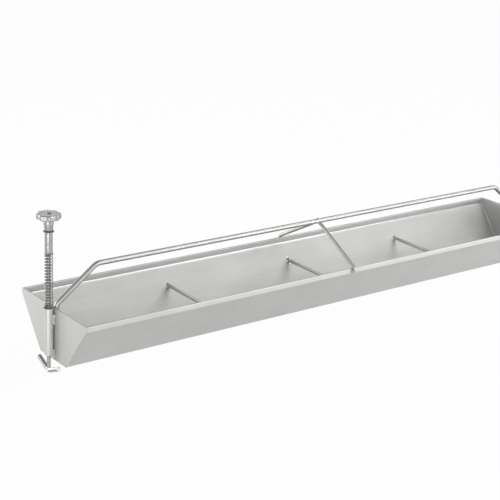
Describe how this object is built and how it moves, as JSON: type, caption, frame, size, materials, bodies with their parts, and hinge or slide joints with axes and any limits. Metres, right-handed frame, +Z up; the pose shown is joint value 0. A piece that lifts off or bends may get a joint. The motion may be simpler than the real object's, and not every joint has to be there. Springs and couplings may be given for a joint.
{
  "type": "piglet feeding trough",
  "caption": "Long folded steel trough with divider bars, a braced guard bar along its middle and a sprung turn-hook floor clamp at each end.",
  "frame": {"origin": "centre of the trough's flat bottom, on its underside", "axes": "+X along the trough, +Y across it, +Z up; the clamp that the picture shows is at -X"},
  "size_m": [1.0476, 0.2002, 0.2445],
  "materials": {
    "trough_sheet": "stainless sheet with a fine matt mill finish",
    "end_sheet": "stainless plate with a fine matt mill finish",
    "divider_steel": "bright drawn stainless round bar",
    "bar_steel": "bright drawn stainless round bar",
    "tube_steel": "satin stainless tube",
    "washer_steel": "punched stainless washer, dulled",
    "spring_wire": "coiled spring wire",
    "cast_knob": "cast steel, tumbled to a satin shine",
    "rod_steel": "stainless rod, satin"
  },
  "bodies": {
    "trough": {"trough_shell": "trough_sheet", "end_plate_left": "end_sheet", "end_plate_right": "end_sheet", "divider_bar_left": "divider_steel", "divider_bar_middle": "divider_steel", "divider_bar_right": "divider_steel", "guard_bar": "bar_steel", "brace_rod_front": "bar_steel", "brace_rod_back": "bar_steel", "guide_tube_left": "tube_steel", "spring_seat_left": "washer_steel", "spring_left": "spring_wire", "guide_tube_right": "tube_steel", "spring_seat_right": "washer_steel", "spring_right": "spring_wire"},
    "press_left": {"press_sleeve_left": "tube_steel", "thrust_washer_left": "washer_steel"},
    "hook_left": {"star_knob_left": "cast_knob", "hook_rod_left": "rod_steel", "anchor_left": "rod_steel"},
    "press_right": {"press_sleeve_right": "tube_steel", "thrust_washer_right": "washer_steel"},
    "hook_right": {"star_knob_right": "cast_knob", "hook_rod_right": "rod_steel", "anchor_right": "rod_steel"}
  },
  "joints": [
    {"name": "press_left_slide", "type": "slide", "parent": "trough", "child": "press_left", "axis": [0, 0, -1], "range_m": [0, 0.03], "stiffness_N_per_m": 500, "springref_m": -0.0031, "deforming": ["spring_left"]},
    {"name": "hook_left_turn", "type": "hinge", "parent": "press_left", "child": "hook_left", "pos_m": [-0.5069, 0, 0.2], "axis": [0, 0, 1], "continuous": true},
    {"name": "press_right_slide", "type": "slide", "parent": "trough", "child": "press_right", "axis": [0, 0, -1], "range_m": [0, 0.03], "stiffness_N_per_m": 500, "springref_m": -0.0031, "deforming": ["spring_right"]},
    {"name": "hook_right_turn", "type": "hinge", "parent": "press_right", "child": "hook_right", "pos_m": [0.5069, 0, 0.2], "axis": [0, 0, 1], "continuous": true}
  ]
}
